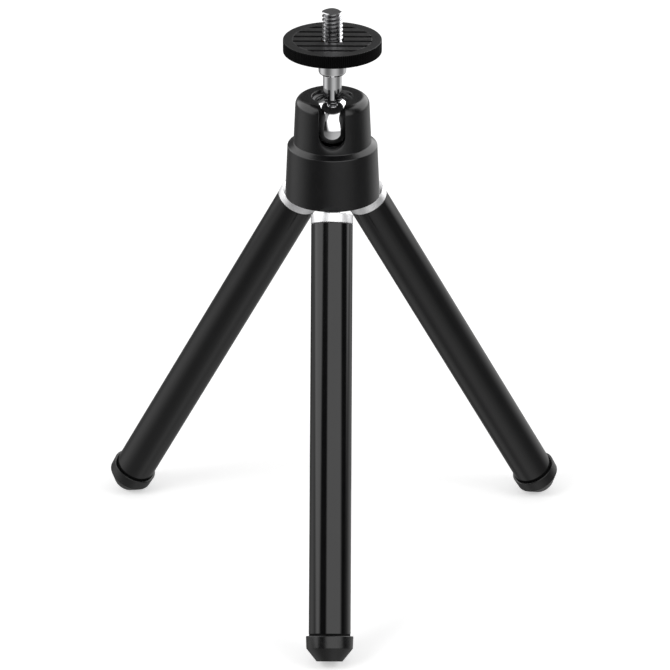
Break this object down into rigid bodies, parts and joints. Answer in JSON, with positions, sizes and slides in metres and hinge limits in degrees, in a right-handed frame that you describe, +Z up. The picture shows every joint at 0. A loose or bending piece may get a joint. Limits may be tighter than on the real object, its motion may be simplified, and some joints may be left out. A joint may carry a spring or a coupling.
{
  "type": "mini tripod",
  "caption": "Small tabletop tripod with folding tube legs, a turning locking collar, a ball head with a side slot, and a knurled disc round the camera screw.",
  "frame": {"origin": "on the table under the middle of the head, between the three feet", "axes": "+Z up along the camera screw, -Y towards the front leg and the slot of the collar"},
  "size_m": [0.1474, 0.1297, 0.183],
  "materials": {
    "collar_plastic": "satin",
    "carrier_plastic": "matte",
    "leg_black": "gloss",
    "plug_metal": "satin",
    "ball_chrome": "polished",
    "steel": "satin",
    "brass": "satin",
    "disc_black": "satin",
    "pad_rubber": "matte",
    "foot_rubber": "satin"
  },
  "bodies": {
    "carrier": {"leg_carrier": "carrier_plastic", "pin_retainer": "carrier_plastic", "retainer_screw": "steel", "hinge_pin_front": "steel", "hinge_pin_left": "steel", "hinge_pin_right": "steel", "ball_seat": "carrier_plastic", "seat_spring": "steel"},
    "collar": {"locking_collar": "collar_plastic"},
    "ball": {"ball": "ball_chrome"},
    "stem": {"ball_stem": "ball_chrome"},
    "insert": {"disc_insert": "brass"},
    "disc": {"platform_disc": "disc_black", "grip_pad": "pad_rubber"},
    "leg_front": {"leg_plug_front": "plug_metal", "leg_tube_front": "leg_black", "foot_cap_front": "foot_rubber"},
    "leg_left": {"leg_plug_left": "plug_metal", "leg_tube_left": "leg_black", "foot_cap_left": "foot_rubber"},
    "leg_right": {"leg_plug_right": "plug_metal", "leg_tube_right": "leg_black", "foot_cap_right": "foot_rubber"}
  },
  "joints": [
    {"name": "collar_turn", "type": "hinge", "parent": "carrier", "child": "collar", "pos_m": [0, 0, 0.12694], "axis": [0, 0, 1], "range_deg": [0, 120]},
    {"name": "head_tilt", "type": "hinge", "parent": "collar", "child": "ball", "pos_m": [0, 0, 0.14574], "axis": [1, 0, 0], "range_deg": [-11, 90]},
    {"name": "head_spin", "type": "hinge", "parent": "ball", "child": "stem", "pos_m": [0, 0, 0.14574], "axis": [0, 0, 1], "continuous": true},
    {"name": "disc_lift", "type": "slide", "parent": "stem", "child": "insert", "axis": [0, 0, 1], "range_m": [0, 0.00381]},
    {"name": "disc_turn", "type": "hinge", "parent": "insert", "child": "disc", "pos_m": [0, 0, 0.17014], "axis": [0, 0, 1], "range_deg": [0, 1080]},
    {"name": "leg_front_fold", "type": "hinge", "parent": "carrier", "child": "leg_front", "pos_m": [0, -0.00756, 0.12694], "axis": [1, 0, 0], "range_deg": [0, 29.5]},
    {"name": "leg_left_fold", "type": "hinge", "parent": "carrier", "child": "leg_left", "pos_m": [-0.00655, 0.00378, 0.12694], "axis": [-0.5, -0.866, 0], "range_deg": [0, 29.5]},
    {"name": "leg_right_fold", "type": "hinge", "parent": "carrier", "child": "leg_right", "pos_m": [0.00655, 0.00378, 0.12694], "axis": [-0.5, 0.866, 0], "range_deg": [0, 29.5]}
  ],
  "couplings": [
    {"joint": "disc_turn", "follows": "disc_lift", "rad_per_m": 4947.4}
  ]
}
